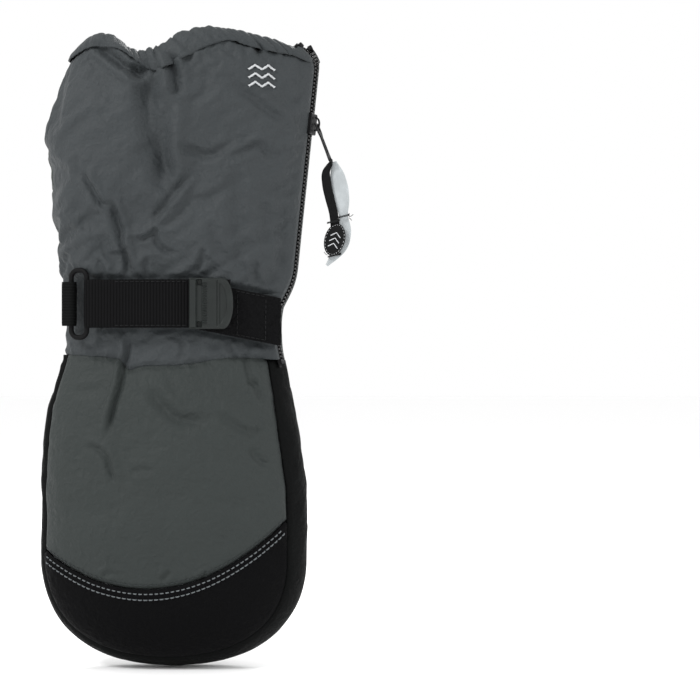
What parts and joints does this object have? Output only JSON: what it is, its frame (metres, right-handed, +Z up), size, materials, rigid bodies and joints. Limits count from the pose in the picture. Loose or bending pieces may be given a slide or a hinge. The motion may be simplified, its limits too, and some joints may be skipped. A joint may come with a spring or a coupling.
{
  "type": "ski mitten",
  "caption": "Left-hand gauntlet ski mitten with a padded hand and thumb, a long cuff with a side zip and pull tag, and a wrist strap with ring and moulded tab.",
  "frame": {"origin": "centre of the cuff's mouth", "axes": "+Z up the arm, +X towards the little-finger side and its zip, -Y out of the back of the hand"},
  "size_m": [0.162, 0.089, 0.3286],
  "materials": {
    "shell_grey": "woven nylon, slight sheen",
    "shell_black": "woven nylon, matt",
    "palm_grip": "coated ribbed grip fabric",
    "membrane": "thin waterproof film",
    "padding": "polyester wadding",
    "lining": "brushed fleece",
    "webbing": "ribbed webbing",
    "hook_and_loop": "hook and loop pile",
    "elastic": "knitted elastic",
    "buckle_black": "moulded",
    "tab_grey": "moulded, fine grain",
    "zip_tape": "herringbone tape",
    "zip_teeth": "moulded teeth",
    "zip_metal": "black enamel",
    "stop_metal": "pressed",
    "reflective": "retroreflective film"
  },
  "bodies": {
    "hand_and_cuff": {"back_panel": "shell_grey", "cuff_back_panel": "shell_grey", "cuff_lining": "lining", "cuff_palm_panel_thumb_side": "shell_grey", "cuff_palm_panel_zip_side": "shell_grey", "fingertip_cap": "shell_black", "hand_lining": "lining", "hem_casing": "shell_grey", "hem_elastic": "elastic", "loop_tape": "hook_and_loop", "padding_back": "padding", "padding_palm": "padding", "palm_patch": "palm_grip", "palm_yoke": "shell_grey", "ring_keeper": "webbing", "side_gusset": "shell_black", "strap_base": "webbing", "waterproof_insert": "membrane", "wrist_back_panel": "shell_grey", "wrist_elastic": "elastic", "wrist_palm_panel": "shell_grey", "zip_bottom_stop": "stop_metal", "zip_gusset": "shell_black", "zip_tape_front": "zip_tape", "zip_tape_rear": "zip_tape", "zip_teeth_front": "zip_teeth", "zip_teeth_rear": "zip_teeth", "zip_top_stop_front": "stop_metal", "zip_top_stop_rear": "stop_metal"},
    "slider": {"slider_body": "zip_metal", "slider_bridge": "zip_metal"},
    "puller": {"puller": "zip_metal"},
    "tag": {"tag_strip": "webbing", "tag_disc": "buckle_black", "tag_backing": "reflective"},
    "ring": {"strap_ring": "buckle_black"},
    "strap": {"strap_top": "webbing", "hook_tape": "hook_and_loop", "end_tab": "tab_grey"},
    "thumb": {"thumb_shell": "shell_grey", "thumb_padding": "padding", "thumb_lining": "lining"}
  },
  "joints": [
    {"name": "zip_slide", "type": "slide", "parent": "hand_and_cuff", "child": "slider", "axis": [0.1044, 0, 0.9945], "range_m": [-0.069, 0.021]},
    {"name": "puller_swing", "type": "hinge", "parent": "slider", "child": "puller", "pos_m": [0.07544, -0.00834, -0.04338], "axis": [0.3418, 0.9391, -0.0359], "range_deg": [-120, 3]},
    {"name": "tag_swing", "type": "hinge", "parent": "puller", "child": "tag", "pos_m": [0.08306, -0.01189, -0.06371], "axis": [0.3418, 0.9391, -0.0359], "range_deg": [-60, 4]},
    {"name": "ring_swing", "type": "hinge", "parent": "hand_and_cuff", "child": "ring", "pos_m": [-0.05232, -0.01663, -0.138], "axis": [0, 0, -1], "range_deg": [0, 20]},
    {"name": "strap_peel", "type": "hinge", "parent": "ring", "child": "strap", "pos_m": [-0.04368, -0.02064, -0.138], "axis": [0, 0, -1], "range_deg": [0, 110]},
    {"name": "thumb_flex", "type": "hinge", "parent": "hand_and_cuff", "child": "thumb", "pos_m": [-0.026, 0.01906, -0.1675], "axis": [1, 0, 0], "range_deg": [0, 35]}
  ]
}
